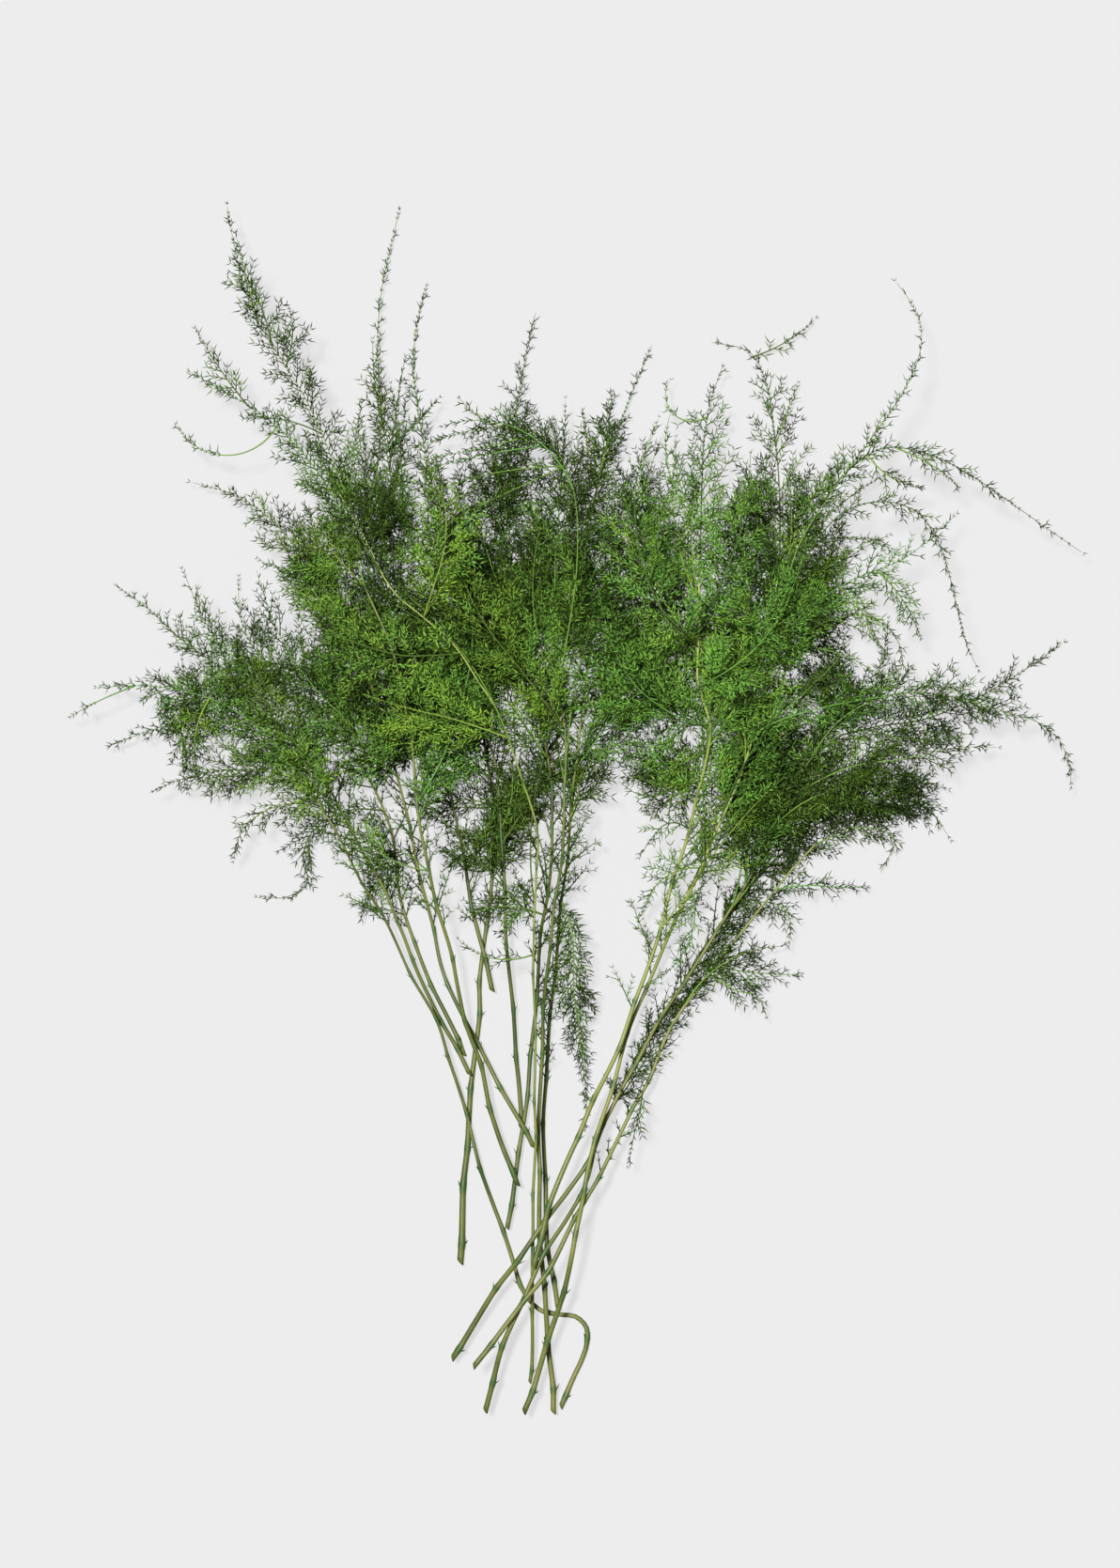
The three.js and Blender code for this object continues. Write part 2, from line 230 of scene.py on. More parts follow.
# ---------------------------------------------------------------- meshes
class Growth:
    """Collects corners and triangles with their shade, then becomes one mesh."""

    def __init__(self):
        self.corners, self.faces, self.slots = [], [], []
        self.tones, self.hues, self.along, self.places = [], [], [], []
        self.count = 0

    def add(self, corners, faces, slot, tone, hue, along, place):
        """Adds n like parts: corners (n, k, 3), faces (f, 3) of one part, shade per part."""
        parts, size = corners.shape[:2]
        offsets = self.count + np.arange(parts)[:, None, None] * size
        self.corners.append(corners.reshape(-1, 3))
        self.faces.append((faces[None] + offsets).reshape(-1, 3))
        self.slots.append(np.full(parts * len(faces), slot))
        tone = np.clip((tone * TONES).astype(int), 0, TONES - 1)
        hue = np.clip((hue * HUES).astype(int), 0, HUES - 1)
        row = hue if slot == NEEDLE_SLOT else np.full_like(hue, HUES)
        self.tones.append(np.repeat((tone + 0.5) / TONES, size))
        self.hues.append(np.repeat((hue + 0.5) / HUES, size))
        self.along.append(np.tile(along, parts))
        swatch = np.stack([tone, row], 1)[:, None] + 0.1 + 0.8 * place[None]
        self.places.append((swatch / (TONES, SWATCH_ROWS)).reshape(-1, 2))
        self.count += parts * size

    def to_object(self, name, materials):
        corners = np.vstack(self.corners)
        faces = np.vstack(self.faces)
        knee = cad_box[1][2] + CEILING_GAP - CEILING_BLEND
        over = np.maximum(corners[:, 2] - knee, 0) / CEILING_BLEND
        corners[:, 2] = np.minimum(corners[:, 2], knee) + CEILING_BLEND * np.tanh(over)
        corners[:, 2] = np.maximum(corners[:, 2], FLOOR_GAP)
        mesh = new_mesh(name, corners, faces, np.concatenate(self.slots), materials)
        set_values(mesh, "tone", np.concatenate(self.tones))
        set_values(mesh, "hue", np.concatenate(self.hues))
        set_values(mesh, "along", np.concatenate(self.along))
        set_map(mesh, np.vstack(self.places)[faces.ravel()])
        return new_object(name, mesh)


def new_mesh(name, corners, faces, slots, materials):
    """A smooth mesh of triangles."""
    mesh = bpy.data.meshes.new(name)
    mesh.vertices.add(len(corners))
    mesh.vertices.foreach_set("co", corners.astype(np.float32).ravel())
    mesh.loops.add(faces.size)
    mesh.loops.foreach_set("vertex_index", faces.astype(np.int32).ravel())
    mesh.polygons.add(len(faces))
    mesh.polygons.foreach_set("loop_start", np.arange(len(faces), dtype=np.int32) * 3)
    mesh.polygons.foreach_set("use_smooth", np.ones(len(faces), bool))
    for material in materials:
        mesh.materials.append(material)
    mesh.polygons.foreach_set("material_index", slots.astype(np.int32))
    mesh.update(calc_edges=True)
    return mesh


def set_values(mesh, name, values):
    attribute = mesh.attributes.new(name, "FLOAT", "POINT")
    attribute.data.foreach_set("value", values.astype(np.float32))


def set_map(mesh, places):
    layer = mesh.uv_layers.new(name="OFBake")
    layer.uv.foreach_set("vector", places.astype(np.float32).ravel())


def new_object(name, mesh):
    made = bpy.data.objects.new(name, mesh)
    bpy.context.scene.collection.objects.link(made)
    return made


def across(axis, hint):
    """Two unit vectors square to axis, the second close to hint."""
    side = unit(np.cross(axis, hint))
    return side, np.cross(side, axis)


def tube_faces(rings, sides):
    """Triangles of a tube whose last ring runs to a point and whose first is closed."""
    faces = []
    for ring in range(rings - 1):
        for k in range(sides):
            a, b = ring * sides + k, ring * sides + (k + 1) % sides
            faces += [(a, b, b + sides), (a, b + sides, a + sides)]
    tip = rings * sides
    last = (rings - 1) * sides
    faces += [(last + k, last + (k + 1) % sides, tip) for k in range(sides)]
    faces += [(0, k + 1, k) for k in range(1, sides - 1)]
    return np.array(faces)


def tube_corners(line, radii):
    """Corners of one tapering tube along a line, sides as in radii's last axis."""
    forward = directions(line)
    side, over = across(forward, UP)
    sides = radii.shape[1]
    turn = np.arange(sides) * 2 * np.pi / sides
    ring = side[:, None] * np.cos(turn)[:, None] + over[:, None] * np.sin(turn)[:, None]
    return line[:, None] - ring * radii[:, :, None]


# ---------------------------------------------------------------- needles and twigs
NEEDLE_SLOT, TWIG_SLOT = 0, 1
NEEDLE_FACES = np.array([(1, 0, 2), (2, 0, 3), (3, 0, 1), (1, 2, 4), (2, 3, 4), (3, 1, 4)])
NEEDLE_PLACE = np.array([(0.5, 0), (0.1, 0.4), (0.5, 0.45), (0.9, 0.4), (0.5, 1)])
NEEDLE_ALONG = np.array([0, 0.35, 0.35, 0.35, 1])
TWIG_SHARES = np.array([0, 0.34, 0.68])
TWIG_FACES = tube_faces(len(TWIG_SHARES), 3)


class Shoots:
    """Twigs that share a level: each is a parabola from its foot, bending as it grows."""

    def __init__(self, foot, heading, bend, length, normal, tone, hue, vigour):
        self.foot, self.heading, self.bend = foot, unit(heading), bend
        self.length, self.normal = length, normal
        self.tone, self.hue, self.vigour = tone, hue, vigour

    def at(self, index, share):
        """Places and headings on the shoots at index, each at its share of the length."""
        share = np.asarray(share)[..., None]
        heading, bend = self.heading[index], self.bend[index]
        length = self.length[index][..., None]
        place = self.foot[index] + length * (heading * share + bend * share**2 / 2)
        return place, unit(heading + bend * share)

    def spots(self, spacing, start, stop):
        """Evenly spread spots: the shoot each is on, its share, and its number there."""
        counts = np.maximum(0, (self.length * (stop - start) / spacing).astype(int))
        index = np.repeat(np.arange(len(counts)), counts)
        number = np.arange(len(index)) - np.repeat(np.cumsum(counts) - counts, counts)
        share = start + (number + 0.5) * (stop - start) / np.maximum(counts, 1)[index]
        return index, share, number


def fork(places, headings, normals, number, lengths, tone, hue, vigour, rng, spread, lift):
    """Shoots that leave alternately to each side, then bend back along their parent."""
    count = len(places)
    side, over = across(headings, normals)
    side = side * np.where(number % 2 == 0, 1, -1)[:, None]
    angle = np.radians(spread + rng.normal(0, SPREAD_NOISE, count))[:, None]
    tilt = (lift + rng.normal(0, TILT_NOISE, count))[:, None]
    outwards = side * np.cos(tilt) + over * np.sin(tilt)
    heading = headings * np.cos(angle) + outwards * np.sin(angle)
    bend = headings * rng.uniform(*FORWARD_BEND, count)[:, None]
    bend = bend - UP * (lengths * rng.uniform(*DROOP, count))[:, None]
    crooked = BEND_NOISE + WEAK_BEND_NOISE * (FOOT_VIGOUR - vigour)
    bend = bend + rng.normal(0, 1, (count, 3)) * crooked[:, None]
    normal = unit(over + ROLL_NOISE * rng.normal(0, 1, (count, 3)))
    return Shoots(places, heading, bend, lengths, normal, tone, hue, vigour)


def grow_twigs(growth, shoots, radius):
    """Three-sided tapering tubes along the shoots."""
    count = len(shoots.length)
    if not count:
        return
    every = np.arange(count)
    turn = np.arange(3) * 2 * np.pi / 3
    corners = []
    for share in TWIG_SHARES:
        place, heading = shoots.at(every, np.full(count, share))
        side, over = across(heading, shoots.normal)
        ring = side[:, None] * np.cos(turn)[:, None] - over[:, None] * np.sin(turn)[:, None]
        corners.append(place[:, None] + ring * (radius * (1 - TWIG_TAPER * share)))
    tip, _ = shoots.at(every, np.ones(count))
    corners.append(tip[:, None])
    shares = np.append(np.repeat(TWIG_SHARES, 3), 1)
    place = np.stack([np.append(np.tile([0, 0.5, 1], len(TWIG_SHARES)), 0.5), shares], 1)
    place[1, 1] += 0.04  # so that the closed foot has an area of its own on the map
    growth.add(np.concatenate(corners, 1), TWIG_FACES, TWIG_SLOT, shoots.tone - TWIG_DARKER,
               shoots.hue, shares, place)


def height_light_and_shade(height):
    """Painted light and shade: needles on top of the heap are painted lighter, and those near
    the surface darker.
    """
    return TOP_TONE * np.clip((height - TONE_HEIGHT) / TONE_HEIGHT, -1, 1)


def grow_needles(growth, places, headings, normals, tone, hue, vigour, rng):
    """A few needles at each place, leaning forwards all round, mostly to the two sides."""
    copies = rng.choice([2, 3], len(places), p=[3 - NEEDLES_PER_NODE, NEEDLES_PER_NODE - 2])
    index = np.repeat(np.arange(len(places)), copies)
    number = np.arange(len(index)) - np.repeat(np.cumsum(copies) - copies, copies)
    count = len(index)
    if not count:
        return
    heading = headings[index]
    side, over = across(heading, normals[index])
    turn = number * np.pi + (number > 1) * 0.5 * np.pi + rng.normal(0, TURN_NOISE, count)
    out = side * np.cos(turn)[:, None] + over * np.sin(turn)[:, None]
    lean = rng.normal(NEEDLE_LEAN, LEAN_NOISE, count) * (0.5 + 0.5 * vigour[index])
    lean = np.radians(lean)[:, None]
    axis = unit(heading * np.cos(lean) + out * np.sin(lean))
    length = NEEDLE_LENGTH * (vigour[index] * rng.uniform(0.7, 1.2, count))[:, None]
    foot = places[index]
    bow = heading * length * rng.uniform(0.0, NEEDLE_BOW, count)[:, None]
    tip = foot + axis * length + bow
    waist = foot + axis * length * NEEDLE_WAIST - bow * 0.15
    chord = unit(tip - foot)
    first, second = across(chord, unit(out) + 0.1)
    girth = 0.15 + 0.3 * rng.random(count) + 0.7 * vigour[index]
    radius = NEEDLE_RADIUS * girth[:, None]
    corners = [foot]
    for k in range(3):
        turned_by = 2 * np.pi * k / 3
        ring = first * math.cos(turned_by) - second * math.sin(turned_by)
        corners.append(waist + ring * radius)
    corners.append(tip)
    shade = tone[index] - 0.06 + rng.normal(0, NEEDLE_TONE_NOISE, count)
    # painted light and shade by the needle's height
    shade = shade + height_light_and_shade(foot[:, 2])
    tint = hue[index] + rng.normal(0, NEEDLE_HUE_NOISE, count)
    growth.add(np.stack(corners, 1), NEEDLE_FACES, NEEDLE_SLOT, shade, tint,
               NEEDLE_ALONG, NEEDLE_PLACE)


def needles_along(growth, shoots, rng, start):
    index, share, _ = shoots.spots(NEEDLE_SPACING, start, 1.0)
    kept = rng.random(len(index)) < 0.35 + 0.65 * shoots.vigour[index]
    index, share = index[kept], share[kept]
    places, headings = shoots.at(index, share)
    grow_needles(growth, places, headings, shoots.normal[index], shoots.tone[index],
                 shoots.hue[index], shoots.vigour[index], rng)


def grow_plume(growth, line, reach, rng, bare, tone, hue, crowd,
               rachis_radius=RACHIS_RADIUS):
    """A feathery spray along a line: its rachis, twigs, twiglets and needles."""
    line, reach, at = smooth_line(line, reach, LINE_STEP)
    share = at / at[-1]
    grow_rachis(growth, line, share, rachis_radius, rng.choice(RACHIS_TONES), hue)
    forward = directions(line)
    length = at[-1]
    first = bare * length
    count = max(2, int((length - first) / TWIG_SPACING * crowd))
    spots = np.arange(count) + rng.uniform(0.0, 1.0, count)
    spots = first + spots * (length - first) / count
    missing = MISSING_TWIGS + MISSING_AT_TIP * (spots / length) ** 3
    spots = spots[(spots < length * 0.97) & (rng.random(count) > missing)]
    count = len(spots)
    places = np.stack([np.interp(spots, at, axis) for axis in line.T], 1)
    headings = unit(np.stack([np.interp(spots, at, axis) for axis in forward.T], 1))
    along = spots / length
    spread = TWIG_SPREAD - SPREAD_LOSS * along
    narrowing = np.clip((along - NARROWING_FROM) / (1 - NARROWING_FROM), 0, 1)
    narrowing = 1 - NARROWING * narrowing
    fullest = reach.max() * np.clip(0.85 - along, 0, 0.75)
    wanted = np.maximum(np.interp(spots, at, reach) * narrowing, fullest)
    wanted = wanted * rng.uniform(0.35, 1.05, count)
    lengths = np.clip(wanted / np.sin(np.radians(spread)), SHORTEST_TWIG, None)
    # painted shade, darker towards the tip of the spray
    tones = tone - TIP_PAINTED_SHADE * along**2 + rng.normal(0, TWIG_TONE_NOISE, count)
    hues = hue + rng.normal(0, TWIG_HUE_NOISE, count)
    normals = np.tile(UP, (count, 1))
    vigour = FOOT_VIGOUR - VIGOUR_LOSS * along
    twigs = fork(places, headings, normals, np.arange(count), lengths, tones, hues, vigour,
                 rng, spread, -0.05)
    grow_twigs(growth, twigs, TWIG_RADIUS)
    needles_along(growth, twigs, rng, 0.12)
    grow_twiglets(growth, twigs, rng)
    index = np.flatnonzero((share > NEEDLES_FROM) & (rng.random(len(share)) > 0.5 * share**3))
    at_tip = np.ones(len(index))
    grow_needles(growth, line[index], forward[index], np.tile(UP, (len(index), 1)),
                 at_tip * (tone - 0.4), at_tip * hue, at_tip * TIP_VIGOUR, rng)


def grow_shade(growth, line, reach, rng, bare, hue, layers):
    """Darker sprays close under another one, which close the gaps between its twigs: extra
    foliage painted dark as the shade deep in the armful.
    """
    ease = np.clip(np.linspace(0, 4, len(line)), 0, 1)
    for _ in range(layers):
        under = line + np.append(rng.normal(0, SHADE_SHIFT, 2), 0) * ease[:, None]
        under[:, 2] *= 1 - ease * rng.uniform(*SHADE_SINK)
        grow_plume(growth, under, reach * SHADE_REACH, rng, max(bare, SHADE_BARE), PAINTED_SHADE_TONE,
                   hue, SHADE_CROWD)


def grow_twiglets(growth, twigs, rng):
    """The second level: twiglets on every twig that is long enough to fork."""
    index, share, number = twigs.spots(TWIGLET_SPACING, 0.18, 0.9)
    long_enough = twigs.length[index] > SHORTEST_FORK
    index, share, number = index[long_enough], share[long_enough], number[long_enough]
    count = len(index)
    if not count:
        return
    places, headings = twigs.at(index, share)
    left = twigs.length[index] * (1 - share)
    lengths = np.minimum(2.5 * MM + 0.5 * left, LONGEST_TWIGLET)
    lengths = lengths * rng.uniform(0.7, 1.25, count)
    tones = twigs.tone[index] + rng.normal(0, 0.05, count)
    hues = twigs.hue[index] + rng.normal(0, 0.06, count)
    twiglets = fork(places, headings, twigs.normal[index], number, lengths, tones, hues,
                    twigs.vigour[index], rng, np.full(count, TWIGLET_SPREAD), 0.0)
    grow_twigs(growth, twiglets, TWIGLET_RADIUS)
    needles_along(growth, twiglets, rng, 0.05)


def grow_rachis(growth, line, share, radius, tone, hue):
    """The round rib of a spray, tapering to its tip."""
    sides = RACHIS_SIDES
    taper = radius + (RACHIS_TIP_RADIUS - radius) * share[:-1]
    corners = tube_corners(line[:-1], np.repeat(taper[:, None], sides, 1))
    corners = np.vstack([corners.reshape(-1, 3), line[-1:]])
    rings = len(line) - 1
    shares = np.append(np.repeat(share[:-1], sides), 1)
    around = np.append(np.tile(np.linspace(0, 1, sides), rings), 0.5)
    place = np.stack([around, shares], 1)
    place[1 : sides - 1, 1] += 0.004  # so that the closed foot has an area on the map
    growth.add(corners[None], tube_faces(rings, sides), TWIG_SLOT,
               np.array([tone]), np.array([hue]), shares, place)


# ---------------------------------------------------------------- canes
def grow_cane(name, line, reach, materials, rng, freshness):
    """A round cane that tapers, swells at its joints and has a scale leaf at each.

    Returns the cane, the line that it follows and the distance along that line.
    """
    line, radius, at = smooth_line(line, reach * CANE_SLIMNESS, CANE_STEP)
    radius = radius * (1 - CANE_TAPER * at / at[-1])
    joints = np.arange(0.35 * JOINT_SPACING, at[-1], JOINT_SPACING)
    joints = joints + rng.uniform(-0.25, 0.25, len(joints)) * JOINT_SPACING
    near = np.exp(-(((at[:, None] - joints) / JOINT_LENGTH) ** 2))
    swell = near.max(1)
    radius = radius * (1 + JOINT_SWELL * swell)
    kinks = CANE_KINK * rng.uniform(0.4, 1.2, len(joints)) * (-1) ** np.arange(len(joints))
    kinks = np.interp(at, np.r_[0, joints, at[-1]], np.r_[0, kinks, 0])
    line = line + unit(np.cross(directions(line), UP)) * kinks[:, None]
    sides = CANE_SIDES
    radii = np.repeat(radius[:, None], sides, 1)
    corners = tube_corners(line, radii).reshape(-1, 3)
    rings = len(line)
    forward = directions(line)
    tip = line[-1:] + forward[-1:] * radius[-1]
    corners = np.vstack([corners, tip])
    cut = corners[:sides]
    slant = (cut - line[0]) @ unit(np.cross(forward[0], UP) + 0.4 * UP)
    corners[:sides] = cut - forward[0] * slant[:, None] * CUT_SLANT
    faces = [tube_faces(rings, sides)]
    share = np.append(np.repeat(at / at[-1], sides), 1)
    joint = np.append(np.repeat(swell, sides), 0)
    around = np.append(np.tile(np.arange(sides) / sides, rings), 0.5)
    places = np.stack([around, 0.04 + 0.96 * share], 1)
    for number, spot in enumerate(joints):
        leaf = scale_leaf(line, forward, radius, at, spot, number, rng)
        start = len(corners)
        corners = np.vstack([corners, leaf])
        faces.append(LEAF_FACES + start)
        share = np.append(share, np.full(len(leaf), spot / at[-1]))
        joint = np.append(joint, np.ones(len(leaf)))
        height = spot / at[-1] * 0.95 + 0.03 * LEAF_PLACE[:, 1]
        places = np.vstack([places, np.stack([LEAF_PLACE[:, 0], height], 1)])
    corners[:, 2] = np.maximum(corners[:, 2], FLOOR_GAP)
    faces = np.vstack(faces)
    slots = np.zeros(len(faces))
    wall = (rings - 1) * sides * 2
    closing = slice(wall + sides, wall + 2 * sides - 2)  # the triangles of the cut face
    slots[closing] = 1
    mesh = new_mesh(name, corners, faces, slots, materials)
    set_values(mesh, "share", share)
    set_values(mesh, "joint", joint)
    set_values(mesh, "fresh", np.full(len(corners), freshness))
    spread = places[faces.ravel()].reshape(-1, 3, 2)
    wraps = (np.ptp(spread[:, :, 0], axis=1) > 0.6)[:, None] & (spread[:, :, 0] < 0.3)
    spread[:, :, 0] += wraps
    spread[:, :, 0] /= 1 + 1 / sides
    turn = np.arange(sides) * 2 * np.pi / sides
    disc = np.stack([0.5 + 0.4 * np.cos(turn), 0.018 + 0.016 * np.sin(turn)], 1)
    spread[closing] = disc[tube_faces(rings, sides)[closing]]
    set_map(mesh, spread.reshape(-1, 2))
    return new_object(name, mesh), line, at


LEAF_FACES = np.array([(0, 1, 2), (0, 2, 3), (0, 3, 1), (1, 4, 2), (2, 4, 3), (3, 4, 1)])
LEAF_PLACE = np.array([(0.45, 0), (0.4, 0.4), (0.5, 0.5), (0.6, 0.4), (0.5, 1)])


def scale_leaf(line, forward, radius, at, spot, number, rng):
    """Corners of the small pointed scale leaf that clasps a joint."""
    place = np.array([np.interp(spot, at, axis) for axis in line.T])
    heading = unit(np.array([np.interp(spot, at, axis) for axis in forward.T]))
    girth = np.interp(spot, at, radius)
    side, over = across(heading[None], UP[None])
    turn = math.pi * (number % 2) + rng.normal(0, 0.5)
    out = side[0] * math.cos(turn) + over[0] * math.sin(turn)
    beside = np.cross(heading, out)
    length = SCALE_LEAF * rng.uniform(0.6, 1.2)
    foot = place + out * girth * 0.55 - heading * length * 0.35
    waist = place + out * girth * 1.05
    return np.array([
        foot,
        waist + beside * girth * 0.55,
        waist + out * girth * 0.35,
        waist - beside * girth * 0.55,
        place + heading * length * 0.75 + out * (girth + 0.5 * length),
    ])


# ---------------------------------------------------------------- materials
def new_group(name, inputs, outputs):
    """An empty shader node group with named inputs and outputs."""
    group = bpy.data.node_groups.new(name, "ShaderNodeTree")
    for label, kind, value in inputs:
        socket = group.interface.new_socket(name=label, in_out="INPUT", socket_type=kind)
        socket.default_value = value
    for label, kind in outputs:
        group.interface.new_socket(name=label, in_out="OUTPUT", socket_type=kind)
    nodes = group.nodes
    return group, nodes.new("NodeGroupInput"), nodes.new("NodeGroupOutput")


def math_node(tree, operation, first, second):
    node = tree.nodes.new("ShaderNodeMath")
    node.operation = operation
    for socket, value in zip(node.inputs, (first, second)):
        if isinstance(value, (int, float)):
            socket.default_value = value
        else:
            tree.links.new(value, socket)
    return node.outputs[0]


def mix_node(tree, factor, first, second, blend="MIX"):
    """A colour mix; each value is a socket or a colour."""
    node = tree.nodes.new("ShaderNodeMix")
    node.data_type = "RGBA"
    node.blend_type = blend
    sockets = (node.inputs[0], node.inputs[6], node.inputs[7])
    for socket, value in zip(sockets, (factor, first, second)):
        if isinstance(value, (int, float)):
            socket.default_value = value
        elif isinstance(value, tuple):
            socket.default_value = (*value, 1)
        else:
            tree.links.new(value, socket)
    return node.outputs[2]


def attribute(tree, name):
    node = tree.nodes.new("ShaderNodeAttribute")
    node.attribute_name = name
    return node.outputs["Fac"]


def growth_shade():
    """Living green: from dark to light by tone, which carries painted light and shade as well as
    random differences, from yellow to blue by hue, paler tips.
    """
    colour = "NodeSocketColor"
    group, inside, out = new_group("living green", [
        ("Tone", "NodeSocketFloat", 0.5), ("Hue", "NodeSocketFloat", 0.5),
        ("Along", "NodeSocketFloat", 0.5), ("Dark", colour, (0, 0, 0, 1)),
        ("Yellow green", colour, (0, 0, 0, 1)), ("Blue green", colour, (0, 0, 0, 1)),
        ("Tip", colour, (0, 0, 0, 1)), ("Tip amount", "NodeSocketFloat", 0.3),
    ], [("Color", colour), ("Roughness", "NodeSocketFloat"), ("Height", "NodeSocketFloat")])
    fresh = mix_node(group, inside.outputs["Hue"], inside.outputs["Yellow green"],
                     inside.outputs["Blue green"])
    shade = mix_node(group, inside.outputs["Tone"], inside.outputs["Dark"], fresh)
    towards_tip = math_node(group, "POWER", inside.outputs["Along"], 2.0)
    amount = math_node(group, "MULTIPLY", towards_tip, inside.outputs["Tip amount"])
    shade = mix_node(group, amount, shade, inside.outputs["Tip"])
    spot = group.nodes.new("ShaderNodeCombineXYZ")
    for socket, label in zip(spot.inputs, ("Tone", "Hue", "Along")):
        group.links.new(inside.outputs[label], socket)
    grain = group.nodes.new("ShaderNodeTexNoise")
    grain.inputs["Scale"].default_value = 9
    group.links.new(spot.outputs[0], grain.inputs["Vector"])
    mottle = math_node(group, "MULTIPLY_ADD", grain.outputs["Fac"], 0.5)
    mottle.node.inputs[2].default_value = 0.75
    shade = mix_node(group, 0.6, shade, mottle, "MULTIPLY")
    group.links.new(shade, out.inputs["Color"])
    rough = math_node(group, "MULTIPLY_ADD", grain.outputs["Fac"], 0.25)
    rough.node.inputs[2].default_value = 0.36
    group.links.new(rough, out.inputs["Roughness"])
    group.links.new(grain.outputs["Fac"], out.inputs["Height"])
    return group


def new_material(name):
    material = bpy.data.materials.new(name)
    material.use_nodes = True
    return material, material.node_tree, material.node_tree.nodes["Principled BSDF"]


def add_bump(tree, shader, height, strength, distance):
    bump = tree.nodes.new("ShaderNodeBump")
    bump.inputs["Strength"].default_value = strength
    bump.inputs["Distance"].default_value = distance
    tree.links.new(height, bump.inputs["Height"])
    tree.links.new(bump.outputs["Normal"], shader.inputs["Normal"])


def green_material(name, group, colours, tip_amount):
    """Needles or twigs, shaded by the living green group."""
    material, tree, shader = new_material(name)
    shade = tree.nodes.new("ShaderNodeGroup")
    shade.node_tree = group
    for label in ("Tone", "Hue", "Along"):
        tree.links.new(attribute(tree, label.lower()), shade.inputs[label])
    for label, value in colours.items():
        shade.inputs[label].default_value = (*value, 1)
    shade.inputs["Tip amount"].default_value = tip_amount
    tree.links.new(shade.outputs["Color"], shader.inputs["Base Color"])
    tree.links.new(shade.outputs["Roughness"], shader.inputs["Roughness"])
    add_bump(tree, shader, shade.outputs["Height"], 0.2, 0.05 * MM)
    shader.inputs["Specular IOR Level"].default_value = 0.12
    return material


def cane_material():
    """Smooth living cane: olive with fine streaks and dark green joints, painted paler yellow
    green towards the top as painted light on the canes that lie on top of the heap, and paler by
    a random amount on the others.
    """
    material, tree, shader = new_material("cane skin")
    place = tree.nodes.new("ShaderNodeTexCoord").outputs["Object"]
    broad = tree.nodes.new("ShaderNodeTexNoise")
    broad.inputs["Scale"].default_value = 22
    broad.inputs["Detail"].default_value = 3
    tree.links.new(place, broad.inputs["Vector"])
    fine = tree.nodes.new("ShaderNodeTexNoise")
    fine.inputs["Scale"].default_value = 900
    fine.inputs["Detail"].default_value = 4
    tree.links.new(place, fine.inputs["Vector"])
    share = attribute(tree, "share")
    ramp = tree.nodes.new("ShaderNodeValToRGB")
    ramp.color_ramp.elements[0].position = 0.36
    ramp.color_ramp.elements[0].color = (0.05, 0.085, 0.014, 1)
    ramp.color_ramp.elements[1].position = 0.64
    ramp.color_ramp.elements[1].color = (0.20, 0.20, 0.05, 1)
    brown = ramp.color_ramp.elements.new(0.5)
    brown.color = (0.13, 0.155, 0.03, 1)
    tree.links.new(broad.outputs["Fac"], ramp.inputs["Fac"])
    # painted light on the canes on top of the heap, random paleness on the others
    fresh = math_node(tree, "MULTIPLY", share, attribute(tree, "fresh"))
    upper = mix_node(tree, fresh, ramp.outputs["Color"], (0.40, 0.48, 0.10))
    joint = math_node(tree, "MULTIPLY", attribute(tree, "joint"), 0.85)
    jointed = mix_node(tree, joint, upper, (0.03, 0.105, 0.018))
    mottle = math_node(tree, "MULTIPLY_ADD", fine.outputs["Fac"], 0.7)
    mottle.node.inputs[2].default_value = 0.65
    tree.links.new(mix_node(tree, 0.8, jointed, mottle, "MULTIPLY"), shader.inputs["Base Color"])
    rough = math_node(tree, "MULTIPLY_ADD", fine.outputs["Fac"], 0.3)
    rough.node.inputs[2].default_value = 0.3
    tree.links.new(rough, shader.inputs["Roughness"])
    add_bump(tree, shader, fine.outputs["Fac"], 0.35, 0.15 * MM)
    return material


def cut_material():
    """The pale, fibrous face where a cane was cut, browning a little."""
    material, tree, shader = new_material("cut face")
    place = tree.nodes.new("ShaderNodeTexCoord").outputs["Object"]
    pith = tree.nodes.new("ShaderNodeTexVoronoi")
    pith.inputs["Scale"].default_value = 2600
    tree.links.new(place, pith.inputs["Vector"])
    colour = mix_node(tree, pith.outputs["Distance"], (0.42, 0.40, 0.18), (0.16, 0.13, 0.05))
    tree.links.new(colour, shader.inputs["Base Color"])
    shader.inputs["Roughness"].default_value = 0.8
    add_bump(tree, shader, pith.outputs["Distance"], 0.5, 0.1 * MM)
    return material


def make_materials():
    green = growth_shade()
    needle = green_material("needle green", green, {
        "Dark": (0.006, 0.018, 0.002), "Yellow green": (0.36, 0.56, 0.045),
        "Blue green": (0.19, 0.51, 0.085), "Tip": (0.40, 0.60, 0.10),
    }, 0.3)
    twig = green_material("twig green", green, {
        "Dark": (0.014, 0.028, 0.003), "Yellow green": (0.34, 0.40, 0.05),
        "Blue green": (0.13, 0.36, 0.07), "Tip": (0.12, 0.26, 0.03),
    }, 0.3)
    return {"needle": needle, "twig": twig, "cane": cane_material(), "cut": cut_material()}


# ---------------------------------------------------------------- surface, light, camera
def make_floor():
    bpy.ops.mesh.primitive_plane_add(size=9)
    floor = bpy.context.object
    floor.name = "floor"
    material, tree, shader = new_material("pale surface")
    shader.inputs["Base Color"].default_value = (0.14, 0.139, 0.14, 1)
    shader.inputs["Emission Color"].default_value = (1, 0.99, 1, 1)
    seen = tree.nodes.new("ShaderNodeLightPath").outputs["Is Camera Ray"]
    tree.links.new(math_node(tree, "MULTIPLY", seen, 0.658), shader.inputs["Emission Strength"])
    shader.inputs["Roughness"].default_value = 0.9
    shader.inputs["Specular IOR Level"].default_value = 0.0
    floor.data.materials.append(material)


